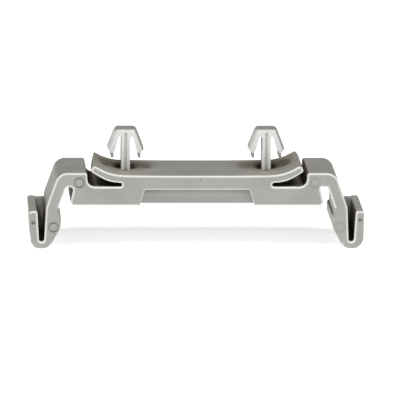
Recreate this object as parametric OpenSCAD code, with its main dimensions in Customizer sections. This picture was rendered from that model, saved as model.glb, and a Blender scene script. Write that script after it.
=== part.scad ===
// Terminal block mounting foot: one moulding that clips on with a hooked spring arm at each end.
// It carries a housing or panel on two snap pins between two spring leaves.
// X runs from hook to hook, Y from front to back and Z up. The origin is in the middle of the flat seat.

/* [Grip] */
// Width that the two hooks grip
rail_w = 35; // [32:0.5:40]
// Thickness that the hooks reach under
flange_t = 1; // [0.8:0.1:1.5]
// Play between the gripped width and each arm
flange_play = 0.08; // [0:0.02:0.2]
// Play between the gripped thickness and each hook
hook_play = 0.15; // [0.05:0.05:0.4]

/* [Foot] */
// Width of the foot from front to back
foot_w = 10; // [8:0.5:16]
// Height of the deck above the seat
deck_h = 4; // [3.6:0.1:5]
// Sag of the deck's middle below its ends
deck_sag = 0.1; // [0:0.02:0.2]
// Thickness of the deck and of the leaves' roots
deck_t = 0.98; // [0.8:0.02:1.2]
// Radius on the moulding's outside edges
edge_r = 0.25; // [0.1:0.05:0.3]

/* [Shoulders] */
// Height of the shoulders above the deck
shoulder_rise = 0.28; // [0.1:0.02:0.6]
// Thickness of the shoulder above the relief slot
shoulder_t = 1.85; // [1.4:0.05:2.2]
// Width of the wall between the leaf's slot and the relief slot
shoulder_root = 1.7; // [1.2:0.1:2.5]
// Radius where the shoulder turns down into the arm
shoulder_r = 1.6; // [0.6:0.1:1.8]
// Radius of the fillet at the foot of the shoulder's inner wall
shoulder_fillet = 0.95; // [0.4:0.05:1.1]

/* [Snap arms] */
// Lean of the arms and of the relief slots' outer walls, in degrees
arm_lean = 19.5; // [10:0.5:24]
// Thickness of the arms, measured along X
arm_t = 1.65; // [1.2:0.05:2.4]
// Width of the relief slots at their tops
relief_w = 0.94; // [0.6:0.02:1.2]
// Lean of the seat block's ends, in degrees
block_lean = 13; // [5:1:18]
// Radius of the seat block's lower corners
block_r = 0.55; // [0.3:0.05:0.8]
// Corner radius of the relief slot's top on the left
relief_r_left = 0.38; // [0.1:0.02:0.44]
// Corner radius of the relief slot's top on the right
relief_r_right = 0.14; // [0.1:0.02:0.44]

/* [Hooks and levers] */
// Reach of the hooks' noses into the gripped width
hook_reach = 0.2; // [0.1:0.05:0.5]
// Depth of the hooks below the seat
hook_drop = 5.57; // [5:0.1:7]
// Length of the nose below its ledge
nose_l = 1.3; // [0.8:0.1:1.6]
// Run of the lead-in ramp along X
ramp_run = 1.55; // [1:0.05:1.7]
// Radius of the ramp's toe
toe_r = 1.6; // [0.8:0.1:1.8]
// Thickness of the levers' free ends
lever_t = 1.09; // [0.8:0.05:1.5]
// Distance of the levers' tops below the seat
lever_top = 0.66; // [0.3:0.1:1.5]
// Thickness of the U below the slit
lever_u_t = 0.92; // [0.7:0.05:1.2]
// Width of the slit between arm and lever at its mouth
slit_w = 1.08; // [0.8:0.05:1.4]
// Width of the slit at its bottom
slit_bottom_w = 0.64; // [0.5:0.02:0.8]
// Radius of the levers' heels
heel_r = 1.45; // [0.8:0.05:1.6]
// Distance by which the left lever's outer face leans in at its heel
heel_inset_left = 0.3; // [0:0.05:0.4]
// Distance by which the right lever's outer face leans in at its heel
heel_inset_right = 0.1; // [0:0.05:0.4]
// Thickness of the web that closes the back of each slit
web_t = 1.5; // [0.6:0.1:2]
// Distance of the web from the back face
web_inset = 0.3; // [0.3:0.05:1]

/* [Spring leaves] */
// Length of each leaf from its bend to its tip, along X
leaf_l = 4.43; // [4:0.05:4.6]
// Angle to which the left leaf rises, in degrees
leaf_angle_left = 31; // [20:0.5:32]
// Angle to which the right leaf rises, in degrees
leaf_angle_right = 32; // [20:0.5:32]
// Radius to which the top of each leaf bends up
leaf_bend_r = 6.6; // [5:0.1:6.8]
// Thickness of the leaves at their tips
leaf_tip_t = 0.92; // [0.8:0.02:1]
// Gap between each leaf's tip and the shoulder
leaf_gap = 0.36; // [0.3:0.01:1]
// Length trimmed off the back corner of the left leaf's tip
leaf_trim_left = 0.85; // [0.1:0.05:0.9]
// Length trimmed off the back corner of the right leaf's tip
leaf_trim_right = 0.8; // [0.1:0.05:0.9]
// Reach of the trim along the left tip
trim_reach_left = 9; // [0.5:0.5:9]
// Reach of the trim along the right tip
trim_reach_right = 6; // [0.5:0.5:7.5]
// Height of the slot under each leaf
slot_h = 0.52; // [0.4:0.02:0.7]

/* [Marking panel] */
// Length of the recessed marking panel at the seat
panel_l = 14.6; // [8:0.2:18]
// Height of the panel
panel_h = 2.1; // [1.4:0.1:2.3]
// Depth of the panel
panel_d = 1.9; // [0.5:0.1:3]
// Draft of the panel's ends, in degrees
panel_draft = 17; // [5:1:25]
// Bevel on the panel's lip
panel_lip = 0.2; // [0.1:0.05:0.3]

/* [Snap pins] */
// Distance between the two pins
pin_spacing = 18; // [12:0.5:18.5]
// Thickness of the pins from front to back
pin_t = 2.6; // [2:0.1:4]
// Width of the stems
stem_w = 1.12; // [0.8:0.02:1.3]
// Width over the two legs of a pin, which fit in the panel's hole
neck_w = 3.8; // [3.4:0.1:4.4]
// Height of the barbs' shoulders above the deck, which is the panel's thickness
grip_h = 2.15; // [1.6:0.05:3]
// Reach of each barb beyond its leg
barb_reach = 0.43; // [0.2:0.02:0.6]
// Rise of each barb from its leg to its tip
barb_rise = 0.52; // [0.3:0.02:0.8]
// Height from the barbs' tips to the underside of the head
barb_arm_h = 1.58; // [1:0.02:2.5]
// Thickness of the head
head_t = 0.95; // [0.6:0.05:1.5]
// Width of the head at its top, before its corners are rounded
head_w = 2.65; // [2.5:0.05:3]
// Width of the gap between the stem and the roots of the barbs' arms
arm_gap = 0.36; // [0.3:0.02:0.44]
// Thickness of the legs
leg_t = 0.36; // [0.3:0.02:0.5]
// Thickness of the barbs' arms at the barbs, inside the legs' outer faces
barb_root_t = 0.58; // [0.5:0.02:0.7]
// Length of the legs below the barbs
leg_l = 0.6; // [0.3:0.05:1]
// Bevel on the pins' outer corners
pin_bevel = 0.45; // [0.2:0.05:0.6]
// Width of the groove down the front and back of each stem
groove_w = 0.34; // [0.2:0.02:0.4]
// Depth of the groove
groove_d = 0.12; // [0.06:0.02:0.4]
// Run of the groove into the head
groove_run = 0.5; // [0.1:0.05:0.6]

/* [Ejector marks] */
// Diameter of the rings on the shoulders and hooks
mark_d = 1.4; // [1:0.1:1.5]
// Width of the rings
mark_ring = 0.22; // [0.1:0.02:0.24]
// Distance of the shoulders' rings from the relief slots, along X
mark_inset = 0.68; // [0.5:0.02:0.9]
// Height of the shoulders' rings above the relief slots
mark_rise = 0.62; // [0.5:0.02:0.8]
// Depth of the rings on the left
mark_depth = 0.1; // [0.05:0.01:0.3]
// Depth of the fainter rings on the right
faint_mark_depth = 0.05; // [0.02:0.01:0.3]
// Diameter of the dimples on the levers
dimple_d = 0.5; // [0.4:0.02:0.65]
// Depth of the dimples
dimple_depth = 0.16; // [0.05:0.01:0.4]
// Distance of the left dimple below the lever's top
dimple_drop_left = 1.5; // [0.8:0.05:2]
// Distance of the right dimple below the lever's top
dimple_drop_right = 1.1; // [0.8:0.05:2]

/* [Hidden] */
// Largest turn of one step along an arc, for small radii and for large ones
small_arc_step = 30;
large_arc_step = 10;
// Radius above which an arc counts as large
large_arc_r = 1;
// Largest share of a side of the outline that an arc takes up
arc_share = 0.9;
// Turn of one step round the moulding's edges
rim_step = 30;
// Sides of the circles that are cut
circle_sides = 48;
// Ratio of the corner radius at a slot's round end to half its width
round_end_ratio = 0.95;
// Amount by which cutters and roots pass the faces that they meet
lap = 0.5;
// Small radii of the moulding
notch_r = 0.12;
nose_r = 0.3;
ramp_r = 2.5;
lever_tip_r = 0.35;
arm_bend_r = 1;
shoulder_edge_r = 0.35;
leaf_end_r = 0.35;
panel_r = 0.3;
head_r = 0.55;
crotch_r = 0.12;
// Radius of the deck's sag, up to where it fits between the leaves
deck_bow_r = 400;
// Distance from the leaf's bend to the blind end of its slot
slot_setback = 0.35;
// Distance of the web's top below the lever's
web_drop = 0.1;

// Heights above the seat
shoulder_h = deck_h + shoulder_rise;
relief_h = shoulder_h - shoulder_t;
slot_top = deck_h - deck_t;
slot_floor = slot_top - slot_h;
notch_h = -0.2;
ledge_h = -(flange_t + hook_play);
nose_h = ledge_h - hook_reach - flange_play;
slit_floor = lever_u_t - hook_drop;
ramp_h = nose_h - nose_l;

// Places along X, right of the middle
arm_x = rail_w / 2 + flange_play;
nose_x = rail_w / 2 - hook_reach;
relief_out_x = arm_x - (relief_h - notch_h) * tan(arm_lean);
relief_in_x = relief_out_x - relief_w;
block_x = relief_in_x + relief_h * tan(block_lean);
shoulder_in_x = relief_in_x - shoulder_root;
shoulder_out_x = arm_x + arm_t - (shoulder_h - notch_h) * tan(arm_lean);
slit_x = arm_x + arm_t;
slit_bottom_x = slit_x + slit_w / 2 - slit_bottom_w / 2;
lever_x = slit_x + slit_w;
lever_out_x = lever_x + lever_t;
toe_x = nose_x + ramp_run;
toe_end_x = toe_x + toe_r * tan(atan2(hook_drop + ramp_h, ramp_run) / 2);
leaf_tip_x = shoulder_in_x - leaf_gap;
leaf_bend_x = leaf_tip_x - leaf_l;
slot_end_x = leaf_bend_x + slot_setback;

// Heights of the pins above the deck
barb_h = grip_h + barb_rise;
head_under = barb_h + barb_arm_h;
pin_h = head_under + head_t;

// Points of the arc that rounds the corner c between its neighbours p and n
function corner_arc(p, c, n, r) =
    let (
        to_p = (p - c) / norm(p - c),
        to_n = (n - c) / norm(n - c),
        half = acos(to_p * to_n) / 2,
        reach = min(r / tan(half), arc_share * norm(p - c), arc_share * norm(n - c)),
        arc_r = reach * tan(half),
        centre = c + (to_p + to_n) / norm(to_p + to_n) * arc_r / sin(half),
        from = c + to_p * reach - centre,
        turn = (180 - 2 * half) * sign(cross(c - p, n - c)),
        steps = max(1, ceil(abs(turn) / (r > large_arc_r ? large_arc_step : small_arc_step)))
    )
    [for (i = [0 : steps])
        let (a = turn * i / steps)
        centre + [from[0] * cos(a) - from[1] * sin(a), from[0] * sin(a) + from[1] * cos(a)]];

// Outline through a closed list of corners, each [x, height, radius]
function rounded(corners) =
    let (last = len(corners) - 1)
    [for (i = [0 : last])
        let (
            c = corners[i],
            p = corners[i == 0 ? last : i - 1],
            n = corners[i == last ? 0 : i + 1]
        )
        each corner_arc([p[0], p[1]], [c[0], c[1]], [n[0], n[1]], c[2])];

// Corners of the left half of an outline, from those given for the right
function left_of(half) =
    [for (i = [len(half) - 1 : -1 : 0]) [-half[i][0], half[i][1], half[i][2]]];

// Outline through the corners of one half and their mirror images
function symmetric(half) = rounded(concat(half, left_of(half)));

// Corners of a leaf that rises to an angle
// They are where its underside bends up, the two of its tip, and where its top bends
function leaf(angle) =
    let (
        top_x = leaf_bend_x + leaf_bend_r * tan(angle / 2),
        tip_top_x = leaf_tip_x - leaf_tip_t * sin(angle),
        tip_top_h = deck_h + (tip_top_x - top_x) * tan(angle),
        tip_h = tip_top_h - leaf_tip_t * cos(angle),
        under_x = leaf_tip_x - (tip_h - slot_top) / tan(angle),
        under_r = round_end_ratio * (under_x - slot_end_x - slot_h / 2) / tan(angle / 2)
    )
    [
        [under_x, slot_top, under_r],
        [leaf_tip_x, tip_h, leaf_end_r],
        [tip_top_x, tip_top_h, leaf_end_r],
        [top_x, deck_h, leaf_bend_r]
    ];

// Corner of a lever's heel, which leans in and is as round as the room beside the toe allows
function heel(heel_inset) =
    let (x = lever_out_x - heel_inset)
    [x, -hook_drop, min(heel_r, round_end_ratio * (x - toe_end_x))];

// Corners of one half of the foot, from the seat round the hook and lever to the deck
function foot_half(relief_r, leaf_angle, heel_inset) = [
    [block_x, 0, block_r],
    [relief_in_x, relief_h, relief_r],
    [relief_out_x, relief_h, relief_r],
    [arm_x, notch_h, nose_r],
    [arm_x, ledge_h, notch_r],
    [nose_x, nose_h, nose_r],
    [nose_x, ramp_h, ramp_r],
    [toe_x, -hook_drop, toe_r],
    heel(heel_inset),
    [lever_out_x, -lever_top, lever_tip_r],
    [lever_x, -lever_top, lever_tip_r],
    [slit_bottom_x + slit_bottom_w, slit_floor, slit_bottom_w / 2 * round_end_ratio],
    [slit_bottom_x, slit_floor, slit_bottom_w / 2 * round_end_ratio],
    [slit_x, notch_h, arm_bend_r],
    [shoulder_out_x, shoulder_h, shoulder_r],
    [shoulder_in_x, shoulder_h, shoulder_edge_r],
    [shoulder_in_x, slot_floor, shoulder_fillet],
    [slot_end_x, slot_floor, slot_h / 2 * round_end_ratio],
    [slot_end_x, slot_top, slot_h / 2 * round_end_ratio],
    each leaf(leaf_angle)
];

// Corners of the foot's whole outline, which closes over the deck's sag
foot_corners = concat(
    foot_half(relief_r_right, leaf_angle_right, heel_inset_right),
    [[0, deck_h - deck_sag, deck_bow_r]],
    left_of(foot_half(relief_r_left, leaf_angle_left, heel_inset_left))
);

// Corners of one half of a snap pin, from its root in the deck up the stem and down round the barb to the head
pin_half = [
    [stem_w / 2, -lap, crotch_r],
    [stem_w / 2, head_under, crotch_r],
    [stem_w / 2 + arm_gap, head_under, crotch_r],
    [neck_w / 2 - barb_root_t, barb_h, head_r],
    [neck_w / 2 - leg_t, grip_h, crotch_r],
    [neck_w / 2 - leg_t, grip_h - leg_l, crotch_r],
    [neck_w / 2, grip_h - leg_l, crotch_r],
    [neck_w / 2, grip_h, crotch_r],
    [neck_w / 2 + barb_reach, barb_h, crotch_r],
    [head_w / 2, pin_h, head_r]
];

// Stands a flat outline up and gives it a thickness along Y, about the middle
module across(thickness) {
    rotate([90, 0, 0])
        linear_extrude(thickness, center = true)
            children();
}

// Outline moved inwards by a distance, corner by corner
function inset(points, distance) =
    let (last = len(points) - 1)
    [for (i = [0 : last])
        let (
            before = points[i] - points[i == 0 ? last : i - 1],
            after = points[i == last ? 0 : i + 1] - points[i],
            n1 = [-before[1], before[0]] / norm(before),
            n2 = [-after[1], after[0]] / norm(after)
        )
        points[i] + distance * (n1 + n2) / (1 + n1 * n2)];

// Whether p lies inside the triangle a b c, whose corners run anticlockwise
function inside(p, a, b, c) =
    cross(b - a, p - a) > 0 && cross(c - b, p - b) > 0 && cross(a - c, p - c) > 0;

// Triangles that fill an outline: cuts off one ear after another, where no point of the rest lies in it
function triangles(points, rest, found = [], at = 0) =
    let (
        count = len(rest),
        i = at % count,
        a = rest[(i + count - 1) % count],
        b = rest[i],
        c = rest[(i + 1) % count]
    )
    count == 3 ? concat(found, [rest]) :
    cross(points[b] - points[a], points[c] - points[b]) > 0
        && len([for (k = rest) if (inside(points[k], points[a], points[b], points[c])) k]) == 0
        ? triangles(points, [for (k = rest) if (k != b) k], concat(found, [[a, b, c]]), i)
        : triangles(points, rest, found, i + 1);

// Moulded plate of an outline, across Y, with rounded front and back edges: rings of points and two faces
module moulded_plate(outline, thickness) {
    count = len(outline);
    quarter = [for (a = [0 : rim_step : 90]) edge_r * [1 - sin(a), 1 - cos(a)]];
    last = len(quarter) - 1;
    rings = concat(
        [for (q = quarter) [q[0], q[1] - thickness / 2]],
        [for (i = [last : -1 : 0]) [quarter[i][0], thickness / 2 - quarter[i][1]]]
    );
    face = triangles(inset(outline, edge_r), [for (i = [0 : count - 1]) i]);
    back = (len(rings) - 1) * count;
    polyhedron(
        [for (ring = rings) each [for (p = inset(outline, ring[0])) [p[0], ring[1], p[1]]]],
        concat(
            [for (t = face) [t[2], t[1], t[0]]],
            [for (t = face) [t[0] + back, t[1] + back, t[2] + back]],
            [for (j = [0 : len(rings) - 2], i = [0 : count - 1])
                let (n = (i + 1) % count)
                [j * count + i, j * count + n, (j + 1) * count + n, (j + 1) * count + i]]
        )
    );
}

// Outline of the marking panel, which runs out at the seat
module panel_outline() {
    half = [
        [panel_l / 2 + lap * tan(panel_draft), -lap, crotch_r],
        [panel_l / 2 - panel_h * tan(panel_draft), panel_h, panel_r]
    ];
    polygon(symmetric(half));
}

// Recess of the marking panel with its bevelled lip
module panel_recess() {
    translate([0, -foot_w / 2, 0]) {
        across(2 * panel_d)
            panel_outline();
        hull() {
            across(2 * panel_lip)
                panel_outline();
            translate([0, -lap - lap / 2, 0])
                across(lap)
                    offset(delta = panel_lip + lap)
                        panel_outline();
        }
    }
}

// Cutter for the back corner of the right leaf's tip
// It follows a quarter of an ellipse or, in one step of 90 degrees, a straight line
module leaf_trim(length, reach, step) {
    translate([leaf_tip_x, foot_w / 2, slot_top])
        linear_extrude(deck_t + leaf_l)
            polygon(concat(
                [for (a = [90 : -step : 0]) [length * (cos(a) - 1), reach * (sin(a) - 1)]],
                [[leaf_gap / 2, -reach], [leaf_gap / 2, lap], [-length, lap]]
            ));
}

// Body of the moulding with its rounded edges, without the pins
module foot_body() {
    difference() {
        moulded_plate(rounded(foot_corners), foot_w);
        panel_recess();
        leaf_trim(leaf_trim_right, trim_reach_right, small_arc_step / 2);
        mirror([1, 0, 0])
            leaf_trim(leaf_trim_left, trim_reach_left, 90);
    }
}

// Flat plate of a pin's width and thickness with bevelled corners
module bevelled_plate(width) {
    offset(delta = pin_bevel, chamfer = true)
        square([width - 2 * pin_bevel, pin_t - 2 * pin_bevel], center = true);
}

// Space that a pin's bevelled outside fills
module pin_envelope() {
    hull() {
        translate([0, 0, -lap])
            linear_extrude(lap + barb_h)
                bevelled_plate(neck_w + 2 * barb_reach);
        translate([0, 0, barb_h])
            linear_extrude(pin_h - barb_h)
                bevelled_plate(head_w);
    }
}

// One arrowhead snap pin: a grooved stem whose head carries two barbed arms that spring in
module snap_pin() {
    difference() {
        intersection() {
            across(pin_t)
                polygon(symmetric(pin_half));
            pin_envelope();
        }
        for (face = [-1, 1])
            translate([-groove_w / 2, face * pin_t / 2 - groove_d, -lap])
                cube([groove_w, 2 * groove_d, lap + head_under + groove_run]);
    }
}

// Web near the back face that closes the slit between the arm and the lever on the right
module lever_web() {
    translate([slit_x - lap, foot_w / 2 - web_inset - web_t, slit_floor - lap])
        cube([slit_w + 2 * lap, web_t, -lever_top - web_drop - slit_floor + lap]);
}

// Ring that an ejector leaves in the front face
module ejector_ring(x, z, depth) {
    translate([x, -foot_w / 2, z])
        across(2 * depth)
            difference() {
                circle(d = mark_d, $fn = circle_sides);
                circle(d = mark_d - 2 * mark_ring, $fn = circle_sides);
            }
}

// Dimple in the front face of a lever
module lever_dimple(x, drop) {
    translate([x, -foot_w / 2, -lever_top - drop])
        across(2 * dimple_depth)
            circle(d = dimple_d, $fn = circle_sides);
}

module mounting_foot() {
    color("#aaaca8")
        difference() {
            union() {
                foot_body();
                for (side = [0, 1])
                    mirror([side, 0, 0]) {
                        lever_web();
                        translate([pin_spacing / 2, 0, deck_h])
                            snap_pin();
                    }
            }
            for (side = [-1, 1]) {
                depth = side < 0 ? mark_depth : faint_mark_depth;
                drop = side < 0 ? dimple_drop_left : dimple_drop_right;
                ejector_ring(side * (relief_in_x - mark_inset), relief_h + mark_rise, depth);
                ejector_ring(side * (nose_x + slit_x) / 2, ramp_h, depth);
                lever_dimple(side * (lever_x + lever_out_x) / 2, drop);
            }
        }
}

mounting_foot();
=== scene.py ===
import math

import bpy
import numpy as np
from mathutils import Matrix, Vector


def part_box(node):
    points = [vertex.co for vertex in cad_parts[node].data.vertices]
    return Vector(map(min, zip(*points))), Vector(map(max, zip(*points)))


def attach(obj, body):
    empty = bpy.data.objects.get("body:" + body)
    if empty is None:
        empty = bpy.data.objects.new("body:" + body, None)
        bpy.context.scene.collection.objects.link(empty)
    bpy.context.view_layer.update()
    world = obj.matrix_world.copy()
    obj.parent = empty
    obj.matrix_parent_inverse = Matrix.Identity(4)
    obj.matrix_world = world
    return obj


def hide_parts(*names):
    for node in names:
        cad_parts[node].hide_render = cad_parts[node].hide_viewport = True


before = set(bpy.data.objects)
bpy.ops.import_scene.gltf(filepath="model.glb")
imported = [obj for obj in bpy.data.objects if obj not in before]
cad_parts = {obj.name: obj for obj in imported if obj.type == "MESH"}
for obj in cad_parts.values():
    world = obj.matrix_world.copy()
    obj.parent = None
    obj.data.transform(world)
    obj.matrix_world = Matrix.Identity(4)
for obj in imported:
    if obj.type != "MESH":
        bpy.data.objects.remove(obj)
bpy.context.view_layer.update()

# Moulding: the whole foot, with its arms, hooks, levers, leaves and pins, is one shot of grey polyamide.
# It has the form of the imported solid. A copy of the solid's triangles is merged, so that the rounded edges
# are shaded smooth and the flat faces stay flat.

MM = 0.001
MERGE = 0.0005 * MM
SHARP_ANGLE = math.radians(36)


def merged_copy(node, name):
    """Copy of a node's loose triangles, merged.

    Each corner's place is rounded to half a micrometre. Corners that round to one place become one vertex,
    and a triangle that loses a corner that way is dropped.
    """
    places = np.empty(len(node.data.vertices) * 3, np.float32)
    node.data.vertices.foreach_get("co", places)
    corners = np.empty(len(node.data.loops), np.int32)
    node.data.loops.foreach_get("vertex_index", corners)
    places = places.reshape(-1, 3)
    cells = np.round(places / MERGE).astype(np.int64)
    _, first, shared = np.unique(cells, axis=0, return_index=True, return_inverse=True)
    triangles = shared.reshape(-1)[corners].reshape(-1, 3)
    whole = (triangles != np.roll(triangles, 1, axis=1)).all(axis=1)
    mesh = bpy.data.meshes.new(name)
    mesh.from_pydata(places[first], [], triangles[whole])
    mesh.validate()
    return mesh


foot_low, foot_high = (np.array(end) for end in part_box("mounting_foot"))
foot_mesh = merged_copy(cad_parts["mounting_foot"], "moulding")
foot_mesh.shade_smooth()
foot_mesh.set_sharp_from_angle(angle=SHARP_ANGLE)

moulding = bpy.data.objects.new("moulding", foot_mesh)
bpy.context.scene.collection.objects.link(moulding)
flat_faces = moulding.modifiers.new("flat_faces", "WEIGHTED_NORMAL")
flat_faces.keep_sharp = True

# Polyamide: pigmented grey, and moulded against spark-eroded steel. The eye gets a satin grey with faint
# clouds of pigment and a fine grain, and a dark, warm painted shade lies in its corners. The real grain,
# about 0.05 mm wide, is less than half a pixel of the render, so it is drawn 0.18 mm wide.

GREY = "#a2a4a1"
GREY_DARK = "#9a9b98"
CLOUD = 4.0 * MM
CLOUD_DETAIL = 3.0
CLOUD_EDGES = (0.35, 0.65)
GRAIN = 0.18 * MM
GRAIN_DETAIL = 2.0
GRAIN_DEPTH = 0.004 * MM
GRAIN_STRENGTH = 0.5
ROUGHNESS = (0.42, 0.58)
CORNER_REACH = 3.0 * MM
CORNER_SAMPLES = 16
CORNER_OPEN = (0.15, 0.7)
CORNER_SHADE = 0.85


def linear(hex_colour):
    """Linear colour, with alpha, of an sRGB hex value: each channel is taken through the sRGB curve."""
    channels = [int(hex_colour[i:i + 2], 16) / 255 for i in (1, 3, 5)]
    return [c / 12.92 if c <= 0.04045 else ((c + 0.055) / 1.055) ** 2.4 for c in channels] + [1.0]


def add(tree, kind, inputs, **settings):
    """Adds a node with its settings. An input that is given a socket is linked, and any other is set."""
    node = tree.nodes.new(kind)
    for key, value in settings.items():
        setattr(node, key, value)
    for key, value in inputs.items():
        if isinstance(value, bpy.types.NodeSocket):
            tree.links.new(value, node.inputs[key])
        else:
            node.inputs[key].default_value = value
    return node


polyamide = bpy.data.materials.new("moulded_grey_polyamide")
polyamide.use_nodes = True
tree = polyamide.node_tree
tree.nodes.clear()

place = add(tree, "ShaderNodeTexCoord", {}).outputs["Object"]
axes = add(tree, "ShaderNodeSeparateXYZ", {"Vector": place}).outputs
clouds = add(tree, "ShaderNodeTexNoise", {"Vector": place, "Scale": 1 / CLOUD, "Detail": CLOUD_DETAIL})
pigment = add(tree, "ShaderNodeValToRGB", {"Fac": clouds.outputs["Fac"]})
for stop, edge, grey in zip(pigment.color_ramp.elements, CLOUD_EDGES, (GREY_DARK, GREY)):
    stop.position = edge
    stop.color = linear(grey)

grain = add(tree, "ShaderNodeTexNoise", {"Vector": place, "Scale": 1 / GRAIN, "Detail": GRAIN_DETAIL})
satin = add(
    tree, "ShaderNodeMapRange",
    {"Value": grain.outputs["Fac"], "To Min": ROUGHNESS[0], "To Max": ROUGHNESS[1]},
)
relief = add(
    tree, "ShaderNodeBump",
    {"Height": grain.outputs["Fac"], "Strength": GRAIN_STRENGTH, "Distance": GRAIN_DEPTH},
)
# Painted shade in corners and recesses: the less open air round a point, the more it is drawn towards the
# dark shade grey.
open_air = add(
    tree, "ShaderNodeAmbientOcclusion", {"Distance": CORNER_REACH}, only_local=True, samples=CORNER_SAMPLES
)
corner = add(
    tree, "ShaderNodeMapRange",
    {
        "Value": open_air.outputs["AO"],
        "From Min": CORNER_OPEN[0],
        "From Max": CORNER_OPEN[1],
        "To Min": CORNER_SHADE,
        "To Max": 0.0,
    },
)

# Rounded edges: the radius that the mould leaves on the polyamide round the front and back outlines. A
# painted highlight lies on it, palest halfway round. The marking panel's lip gets only a faint painted
# highlight, and the outer edges of the hooks and levers get none.

EDGE_R = 0.25 * MM
HOOK_TOP = -0.3 * MM
SLIT_X = (18.7 * MM, 20.75 * MM)
SLIT_FLOOR = -5.0 * MM
LEVER_IN = 20.3 * MM
LEVER_TIP = -1.05 * MM
PANEL_HALF = 7.8 * MM
PANEL_TOP = 2.5 * MM
LIP_HIGHLIGHT = 0.25


def per_face(key):
    """One vector for each of the foot's faces: its middle or its normal."""
    values = np.empty(len(foot_mesh.polygons) * 3, np.float32)
    foot_mesh.polygons.foreach_get(key, values)
    return values.reshape(-1, 3)


def between(values, limits):
    """True where a value lies between the two limits."""
    return (values > limits[0]) & (values < limits[1])


def mark_faces(name, shares):
    """Stores one number for each of the foot's faces, which the material reads by its name."""
    attribute = foot_mesh.attributes.new(name, "FLOAT", "FACE")
    attribute.data.foreach_set("value", shares.astype(np.float32))


across, along, height = per_face("center").T
normals = per_face("normal")
aside = np.abs(across)
facing = np.abs(normals[:, 1])
# The sine of twice the angle that a face is turned from the front: 0 on flat faces and 1 halfway round.
halfway_round = 2 * facing * np.sqrt(np.clip(1 - facing**2, 0, 1))
rounded = np.abs(along) > foot_high[1] - EDGE_R
beside_slit = between(aside, SLIT_X) & (height > SLIT_FLOOR)
lever_tip = (aside > LEVER_IN) & (height > LEVER_TIP)
highlighted_edge = rounded & ((height > HOOK_TOP) | beside_slit | lever_tip)
at_panel = (aside < PANEL_HALF) & (height < PANEL_TOP)
# Painted highlight on the rounded edges.
mark_faces("painted_edge_highlight", highlighted_edge * np.where(at_panel, LIP_HIGHLIGHT, 1) * halfway_round)
painted_edge_highlight = add(tree, "ShaderNodeAttribute", {}, attribute_name="painted_edge_highlight").outputs["Fac"]

# Marking panel: the bare recess in the front of the seat block, sunk by a raised pad on the mould's steel.
# Its floor gets no painted corner shade and is painted a little paler than the front, with a band of painted
# shadow under its lip.

FACE_ON = 0.9
PANEL_Y = (-3.4 * MM, -2.8 * MM)
PANEL_PAINTED_LIGHT = 0.15
LIP_SHADOW = (1.2 * MM, 1.55 * MM)
LIP_SHADE = 0.45

panel_floor = at_panel & (facing > FACE_ON) & between(along, PANEL_Y)
mark_faces("panel_floor", panel_floor)
panel = add(tree, "ShaderNodeAttribute", {}, attribute_name="panel_floor").outputs["Fac"]
open_corner = add(
    tree, "ShaderNodeMath", {0: corner.outputs["Result"], 1: panel}, operation="SUBTRACT", use_clamp=True
)
# Painted shadow under the panel's lip.
under_lip = add(
    tree, "ShaderNodeMapRange",
    {
        "Value": axes["Z"],
        "From Min": LIP_SHADOW[0],
        "From Max": LIP_SHADOW[1],
        "To Min": 0.0,
        "To Max": LIP_SHADE,
    },
)
lip_shade = add(tree, "ShaderNodeMath", {0: under_lip.outputs["Result"], 1: panel}, operation="MULTIPLY")

# Thin walls: the snap pins, and the webs near the back that close the slits between arms and levers, moulded
# in one with the foot. Painted light makes them paler, standing for light that passes through them. The pins'
# upper faces stay grey, their right bevels stay grey as painted shade, and the grooves in their stems get
# half the painted light.
# The marking panel's floor gets a little of the same painted light.

PIN_X = 9.0 * MM
PIN_REACH = 2.4 * MM
PIN_BARBS = 6.2 * MM
PIN_HALF = 1.31 * MM
BEVEL_LEAN = 0.6
STEM_HALF = 0.6 * MM
STEM_FOOT = 4.1 * MM
GROOVE_HALF = 0.17 * MM
GROOVE_FLOOR = 1.2 * MM
GROOVE_PAINTED_LIGHT = 0.5
WEB_X = (19.2 * MM, 20.35 * MM)
WEB_Y = (3.1 * MM, 3.3 * MM)
WEB_PAINTED_LIGHT = 0.4

from_pin = np.abs(aside - PIN_X)
stem = (from_pin < STEM_HALF) & (height > STEM_FOOT) & (np.abs(along) < PIN_HALF)
in_pin = stem | ((from_pin < PIN_REACH) & (height > PIN_BARBS))
level = np.clip(normals[:, 2], 0, 1)
shaded_right_bevel = np.where(stem, 0, np.clip(normals[:, 0] / BEVEL_LEAN, 0, 1))
groove = (from_pin < GROOVE_HALF) & (np.abs(along) < GROOVE_FLOOR)
# Painted light on the thin walls, with painted shade left on the pins' right bevels and grooves.
pin_painted_light = in_pin * (1 - level) * (1 - shaded_right_bevel) * np.where(groove, GROOVE_PAINTED_LIGHT, 1)
web = between(aside, WEB_X) & between(along, WEB_Y) & (facing > FACE_ON)
mark_faces("painted_light", pin_painted_light + WEB_PAINTED_LIGHT * web + PANEL_PAINTED_LIGHT * panel_floor)
painted_light = add(tree, "ShaderNodeAttribute", {}, attribute_name="painted_light").outputs["Fac"]

# Deck: the top between the shoulders, moulded in one with the pins on it and the sprung leaves at its ends.
# A painted shadow of the pins, darker and warmer towards each pin and behind it, lies on it and reaches
# further along the leaves. Two dark specks lie in the middle of its front, and a painted shadow at the foot
# of each pin's stem.

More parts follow.
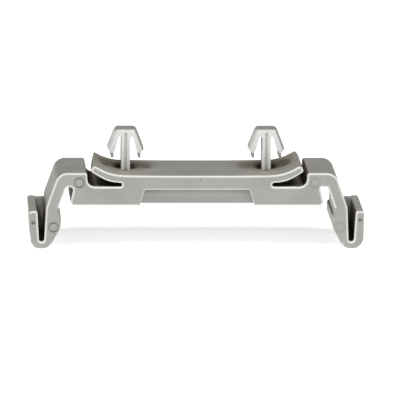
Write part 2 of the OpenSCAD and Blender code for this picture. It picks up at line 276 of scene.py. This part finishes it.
DECK_Z = (3.5 * MM, 5.3 * MM)
PIN_SHADOW_REACH = (0.5 * MM, 4.0 * MM)
PIN_SHADOW_FALL = 2.0
PIN_SHADOW_Y = (-2.0 * MM, 5.0 * MM)
PIN_SHADOW_DEPTH = (0.5, 0.85)
LEAF_SHARE = 0.7
WARM_SHADE_TINT = "#fff1e2"
SPECKS_AND_SHADOWS = (
    ((-0.08, -2.9, 3.9), (0.25, 0.45, 0.5)),
    ((0.43, -5.0, 3.5), (0.22, 0.5, 0.22)),
    # Painted shadows at the feet of the two pins' stems.
    ((-9.0, -1.6, 4.0), (0.5, 0.9, 0.5)),
    ((9.0, -1.6, 4.0), (0.5, 0.9, 0.5)),
)
SPOT_DARKNESS = 0.55

mark_faces("deck_top", np.where(between(height, DECK_Z), level, 0))
deck = add(tree, "ShaderNodeAttribute", {}, attribute_name="deck_top").outputs["Fac"]

# Distance from the nearest pin's axis. Outwards it counts by a share, and behind the axis only sideways.
from_middle = add(tree, "ShaderNodeMath", {0: axes["X"]}, operation="ABSOLUTE")
off_axis = add(tree, "ShaderNodeMath", {0: from_middle.outputs[0], 1: PIN_X}, operation="SUBTRACT")
outwards = add(tree, "ShaderNodeMath", {0: off_axis.outputs[0], 1: LEAF_SHARE}, operation="MULTIPLY")
inwards = add(tree, "ShaderNodeMath", {0: off_axis.outputs[0], 1: -1.0}, operation="MULTIPLY")
beside = add(tree, "ShaderNodeMath", {0: outwards.outputs[0], 1: inwards.outputs[0]}, operation="MAXIMUM")
ahead = add(tree, "ShaderNodeMath", {0: axes["Y"], 1: 0.0}, operation="MINIMUM")
offset = add(tree, "ShaderNodeCombineXYZ", {"X": beside.outputs[0], "Y": ahead.outputs[0]})
distance = add(tree, "ShaderNodeVectorMath", {0: offset.outputs[0]}, operation="LENGTH")
near_pin = add(
    tree, "ShaderNodeMapRange",
    {
        "Value": distance.outputs["Value"],
        "From Min": PIN_SHADOW_REACH[0],
        "From Max": PIN_SHADOW_REACH[1],
        "To Min": 1.0,
        "To Max": 0.0,
    },
)
fall = add(tree, "ShaderNodeMath", {0: near_pin.outputs["Result"], 1: PIN_SHADOW_FALL}, operation="POWER")
depth = add(
    tree, "ShaderNodeMapRange",
    {
        "Value": axes["Y"],
        "From Min": PIN_SHADOW_Y[0],
        "From Max": PIN_SHADOW_Y[1],
        "To Min": PIN_SHADOW_DEPTH[0],
        "To Max": PIN_SHADOW_DEPTH[1],
    },
)
# Painted shadow of the pins on the deck, and a warm tint of painted shade near them.
pin_shadow = add(tree, "ShaderNodeMath", {0: fall.outputs[0], 1: depth.outputs["Result"]}, operation="MULTIPLY")
deck_shade = add(tree, "ShaderNodeMath", {0: pin_shadow.outputs[0], 1: deck}, operation="MULTIPLY")
warm_shade = add(tree, "ShaderNodeMath", {0: near_pin.outputs["Result"], 1: deck}, operation="MULTIPLY")

# Each speck, and each painted shadow at a stem's foot, is an ellipsoid that fades from its middle to its
# reach along X, Y and Z, given in millimetres.
specks_and_shadows = []
for middle, reach in SPECKS_AND_SHADOWS:
    to_middle = add(tree, "ShaderNodeVectorMath", {0: place, 1: np.array(middle) * MM}, operation="SUBTRACT")
    in_reaches = add(
        tree, "ShaderNodeVectorMath", {0: to_middle.outputs[0], 1: np.array(reach) * MM}, operation="DIVIDE"
    )
    away = add(tree, "ShaderNodeVectorMath", {0: in_reaches.outputs[0]}, operation="LENGTH")
    dark_spot = add(
        tree, "ShaderNodeMapRange",
        {"Value": away.outputs["Value"], "To Min": SPOT_DARKNESS, "To Max": 0.0},
    )
    specks_and_shadows.append(dark_spot.outputs["Result"])

# Gaps: the narrow spaces between the leaves' tips and the shoulders, which thin blades of the mould leave.
# The shoulders' walls in them get a dark, warm painted shade, and are matt. The left wall and the right one
# have their own top and their own least turn inwards, which keep the painted shade off the shoulders' rounded
# upper edges.

GAP_X = (13.0 * MM, 14.3 * MM)
GAP_FLOOR = 2.4 * MM
GAP_TOP = np.array([3.95, 4.2]) * MM
GAP_TURN = np.array([0.15, 0.5])
GAP_SHADE = 0.85

on_right = (across > 0).astype(int)
inward = -normals[:, 0] * np.sign(across)
gap_wall = between(aside, GAP_X) & (inward > GAP_TURN[on_right]) & ~rounded
gap_wall &= (height > GAP_FLOOR) & (height < GAP_TOP[on_right])
# Painted shade on the gaps' walls.
mark_faces("gap_shade", GAP_SHADE * gap_wall)
gap_shade = add(tree, "ShaderNodeAttribute", {}, attribute_name="gap_shade").outputs["Fac"]

# Finished skin: the painted shades of corners, deck, panel lip and gaps, the specks, and the painted shadows
# at the pins' feet add up and darken the pigment, with a warm painted shade near the pins. The painted light
# of the thin walls and the panel floor, and the painted highlight of the rounded edges, lie pale over that.
# In the gaps the polyamide is matt, and satin elsewhere.

SHADE_AND_SPECK_GREY = "#4d3c34"
PAINTED_LIGHT_GREY = "#dfe2e3"
EDGE_HIGHLIGHT_GREY = "#eef1f2"
POLYAMIDE_IOR = 1.53
# A colour mix has its sockets by number: the share, the colour under it, the colour over it, and the result.
MIX_SHARE, MIX_UNDER, MIX_OVER, MIX_RESULT = 0, 6, 7, 2

dark = open_corner.outputs[0]
for shade in (deck_shade.outputs[0], lip_shade.outputs[0], *specks_and_shadows, gap_shade):
    dark = add(tree, "ShaderNodeMath", {0: dark, 1: shade}, operation="ADD", use_clamp=True).outputs[0]

colour = pigment.outputs["Color"]
for share, tint, blend in (
    (warm_shade.outputs[0], WARM_SHADE_TINT, "MULTIPLY"),
    (dark, SHADE_AND_SPECK_GREY, "MIX"),
    (painted_light, PAINTED_LIGHT_GREY, "MIX"),
    (painted_edge_highlight, EDGE_HIGHLIGHT_GREY, "MIX"),
):
    mix = add(
        tree, "ShaderNodeMix", {MIX_SHARE: share, MIX_UNDER: colour, MIX_OVER: linear(tint)},
        data_type="RGBA", blend_type=blend,
    )
    colour = mix.outputs[MIX_RESULT]

matt = add(
    tree, "ShaderNodeMath", {0: satin.outputs["Result"], 1: gap_shade}, operation="ADD", use_clamp=True
)
skin = add(
    tree, "ShaderNodeBsdfPrincipled",
    {
        "Base Color": colour,
        "Roughness": matt.outputs[0],
        "Normal": relief.outputs["Normal"],
        "IOR": POLYAMIDE_IOR,
    },
)
add(tree, "ShaderNodeOutputMaterial", {"Surface": skin.outputs["BSDF"]})

foot_mesh.materials.append(polyamide)
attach(moulding, "root")
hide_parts("mounting_foot")

# Studio: a plain pale table that glows and so stays near white. The foot stands on it with its levers' bends.
# Two soft boxes hang above, to the left and right of the front, and a weak one stands low in front.

FLOOR_HALF = 1.5
TABLE_WHITE = "#f4f4f4"
TABLE_ROUGHNESS = 0.9
TABLE_GLOW = 0.68
PURE_WHITE = "#ffffff"
WARM_WHITE = "#fffbf5"
ROOM_LIGHT = 0.03

table = bpy.data.materials.new("pale_light_table")
table.use_nodes = True
table_tree = table.node_tree
table_tree.nodes.clear()
surface = add(
    table_tree, "ShaderNodeBsdfPrincipled",
    {
        "Base Color": linear(TABLE_WHITE),
        "Roughness": TABLE_ROUGHNESS,
        "Emission Color": linear(PURE_WHITE),
        "Emission Strength": TABLE_GLOW,
    },
)
add(table_tree, "ShaderNodeOutputMaterial", {"Surface": surface.outputs["BSDF"]})

floor_corners = np.array([[-1, -1, 0], [1, -1, 0], [1, 1, 0], [-1, 1, 0]]) * FLOOR_HALF
floor_mesh = bpy.data.meshes.new("floor")
floor_mesh.from_pydata(floor_corners + [0, 0, foot_low[2]], [], [(0, 1, 2, 3)])
floor_mesh.materials.append(table)
floor = bpy.data.objects.new("floor", floor_mesh)
bpy.context.scene.collection.objects.link(floor)

world = bpy.data.worlds.new("studio")
world.use_nodes = True
world.node_tree.nodes["Background"].inputs["Color"].default_value = linear(WARM_WHITE)
world.node_tree.nodes["Background"].inputs["Strength"].default_value = ROOM_LIGHT
bpy.context.scene.world = world


def soft_box(name, position, size, watts, tint):
    """Square area light at a position, in metres, turned so that it faces the origin."""
    lamp = bpy.data.lights.new(name, "AREA")
    lamp.size = size
    lamp.energy = watts
    lamp.color = linear(tint)[:3]
    box = bpy.data.objects.new(name, lamp)
    bpy.context.scene.collection.objects.link(box)
    box.location = position
    box.rotation_mode = "QUATERNION"
    box.rotation_quaternion = Vector(position).to_track_quat("Z", "Y")


soft_box("left_box", position=(-0.25, -0.25, 0.6), size=0.2, watts=2.48, tint=WARM_WHITE)
soft_box("right_box", position=(0.25, -0.25, 0.6), size=0.2, watts=2.24, tint=WARM_WHITE)
soft_box("front_box", position=(-0.02, -0.6, 0.15), size=0.1, watts=0.1, tint=PURE_WHITE)

# Camera: a long lens at the photograph's angle, slightly to the left of the foot and a little above it.
# It is rolled so that the foot's length runs level across the picture.

AZIMUTH = math.radians(-3.3)
ELEVATION = math.radians(12.2)
DISTANCE = 800 * MM
AIM = np.array([0.36, -5.0, 0.81]) * MM
PIXELS_PER_MM = 7.855
IMAGE_WIDTH = 400
SENSOR_WIDTH = 36
NEAREST = 10 * MM

towards_camera = np.array([
    math.sin(AZIMUTH) * math.cos(ELEVATION),
    -math.cos(AZIMUTH) * math.cos(ELEVATION),
    math.sin(ELEVATION),
])
rightwards = np.array([1, 0, 0]) - towards_camera[0] * towards_camera
rightwards /= np.linalg.norm(rightwards)
upwards = np.cross(towards_camera, rightwards)
view_width = IMAGE_WIDTH / PIXELS_PER_MM * MM

lens = bpy.data.cameras.new("camera")
lens.sensor_width = SENSOR_WIDTH
lens.lens = SENSOR_WIDTH * DISTANCE / view_width
lens.clip_start = NEAREST
camera = bpy.data.objects.new("camera", lens)
bpy.context.scene.collection.objects.link(camera)
camera.location = AIM + towards_camera * DISTANCE
camera.rotation_mode = "QUATERNION"
camera.rotation_quaternion = Matrix(np.array([rightwards, upwards, towards_camera]).T).to_quaternion()
bpy.context.scene.camera = camera
bpy.context.scene.view_settings.view_transform = "Standard"
